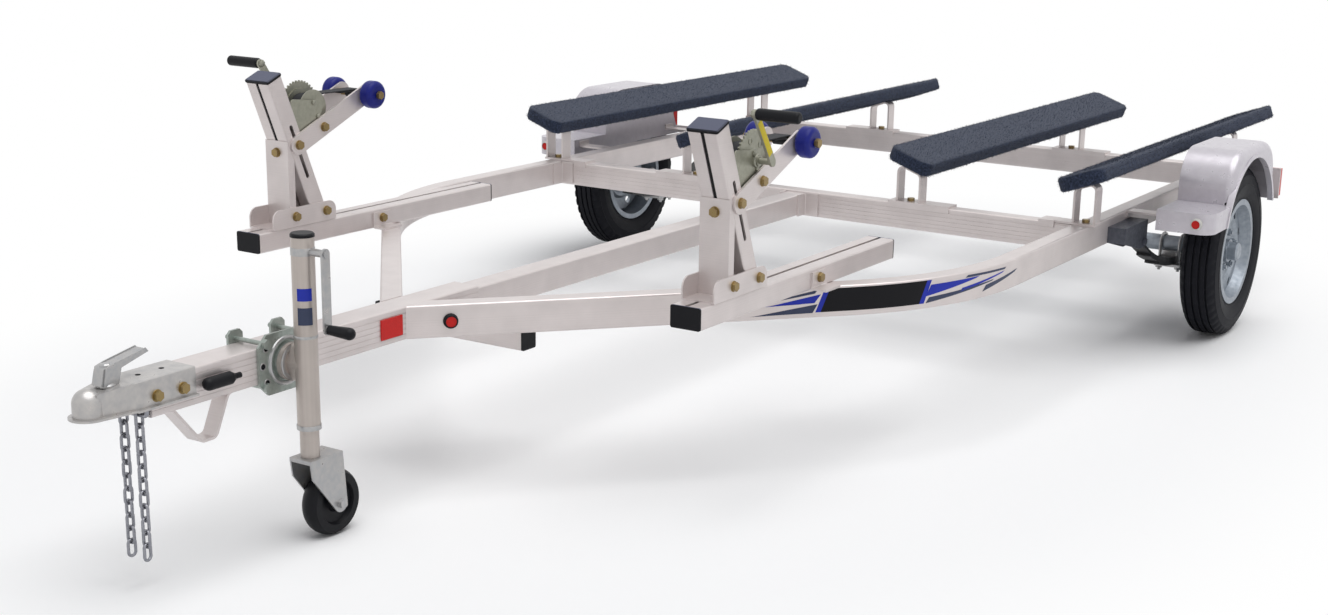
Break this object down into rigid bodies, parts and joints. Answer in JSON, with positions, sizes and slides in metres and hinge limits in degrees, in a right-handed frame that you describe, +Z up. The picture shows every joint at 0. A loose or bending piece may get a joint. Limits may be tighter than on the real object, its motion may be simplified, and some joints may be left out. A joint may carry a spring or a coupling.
{
  "type": "personal watercraft trailer",
  "caption": "Aluminium road trailer for personal watercraft, with bent side rails, carpeted bunks, winch posts with bow rollers, a leaf-sprung axle, fenders, a ball coupler and a swivel jack.",
  "frame": {"origin": "on the ground at the middle of the whole trailer's length and width", "axes": "+X forward to the coupler, +Y to the trailer's left, +Z up"},
  "size_m": [4.438, 2.416, 0.888],
  "materials": {
    "aluminium": "mill finish",
    "zinc_steel": "bright zinc plate",
    "dull_zinc": "dull zinc plate",
    "yellow_zinc": "yellow zinc plate",
    "galvanised": "galvanised",
    "black_steel": "black paint",
    "tyre_rubber": "matt rubber",
    "black_plastic": "matt moulded",
    "blue_polymer": "smooth moulded",
    "carpet": "cut pile carpet",
    "strap_webbing": "woven strap",
    "fender_plastic": "satin moulded",
    "red_lens": "moulded lens"
  },
  "bodies": {
    "trailer_frame": {"axle": "galvanised", "bolt_heads": "yellow_zinc", "bunk_brackets_front": "aluminium", "bunk_brackets_rear": "aluminium", "bunk_inner_left": "carpet", "bunk_inner_right": "carpet", "bunk_outer_left": "carpet", "bunk_outer_right": "carpet", "center_beam": "aluminium", "corner_brackets": "aluminium", "coupler": "zinc_steel", "coupler_latch": "zinc_steel", "crank_grips": "black_plastic", "cross_member_front": "aluminium", "cross_member_rear": "aluminium", "end_caps": "black_plastic", "fender_brackets": "aluminium", "fender_left": "fender_plastic", "fender_right": "fender_plastic", "jack_mount": "zinc_steel", "lamp_brackets": "aluminium", "leaf_springs": "black_steel", "marker_lamps": "red_lens", "post_bases": "aluminium", "post_legs": "aluminium", "rail_clips": "aluminium", "roller_arms": "aluminium", "roller_pins": "yellow_zinc", "safety_chains": "zinc_steel", "side_rail_left": "aluminium", "side_rail_right": "aluminium", "spreader": "aluminium", "spring_clamps": "zinc_steel", "spring_hangers": "galvanised", "tail_lamps": "red_lens", "tongue": "aluminium", "tongue_loop": "aluminium", "winch_cranks": "dull_zinc", "winch_posts": "aluminium", "winch_rails": "aluminium", "winch_straps": "strap_webbing", "winches": "dull_zinc", "wiring_plug": "black_plastic"},
    "wheel_left": {"tyre_left": "tyre_rubber", "rim_left": "galvanised", "hub_left": "galvanised"},
    "wheel_right": {"tyre_right": "tyre_rubber", "rim_right": "galvanised", "hub_right": "galvanised"},
    "jack_body": {"jack_tube": "zinc_steel", "jack_cap": "black_plastic", "jack_crank": "zinc_steel", "jack_grip": "black_plastic"},
    "jack_inner_leg": {"jack_leg": "zinc_steel"},
    "jack_caster": {"caster_fork": "zinc_steel"},
    "jack_wheel": {"caster_wheel": "black_plastic"},
    "roller_pair_left": {"bow_rollers_left": "blue_polymer"},
    "roller_pair_right": {"bow_rollers_right": "blue_polymer"}
  },
  "joints": [
    {"name": "wheel_left_spin", "type": "hinge", "parent": "trailer_frame", "child": "wheel_left", "pos_m": [-1.215, 1.12, 0.26], "axis": [0, 1, 0], "continuous": true},
    {"name": "wheel_right_spin", "type": "hinge", "parent": "trailer_frame", "child": "wheel_right", "pos_m": [-1.215, -1.12, 0.26], "axis": [0, 1, 0], "continuous": true},
    {"name": "jack_swivel", "type": "hinge", "parent": "trailer_frame", "child": "jack_body", "pos_m": [1.712, 0.06, 0.3831], "axis": [0, -1, 0], "range_deg": [0, 90]},
    {"name": "jack_extension", "type": "slide", "parent": "jack_body", "child": "jack_inner_leg", "axis": [0, 0, 1], "range_m": [-0.19, 0.05]},
    {"name": "caster_swivel", "type": "hinge", "parent": "jack_inner_leg", "child": "jack_caster", "pos_m": [1.712, 0.1, 0.181], "axis": [0, 0, 1], "continuous": true},
    {"name": "caster_wheel_spin", "type": "hinge", "parent": "jack_caster", "child": "jack_wheel", "pos_m": [1.657, 0.1, 0.072], "axis": [0, 1, 0], "continuous": true},
    {"name": "bow_rollers_left_spin", "type": "hinge", "parent": "trailer_frame", "child": "roller_pair_left", "pos_m": [0.74, 0.649, 0.784], "axis": [0, 1, 0], "continuous": true},
    {"name": "bow_rollers_right_spin", "type": "hinge", "parent": "trailer_frame", "child": "roller_pair_right", "pos_m": [0.74, -0.649, 0.784], "axis": [0, 1, 0], "continuous": true}
  ]
}
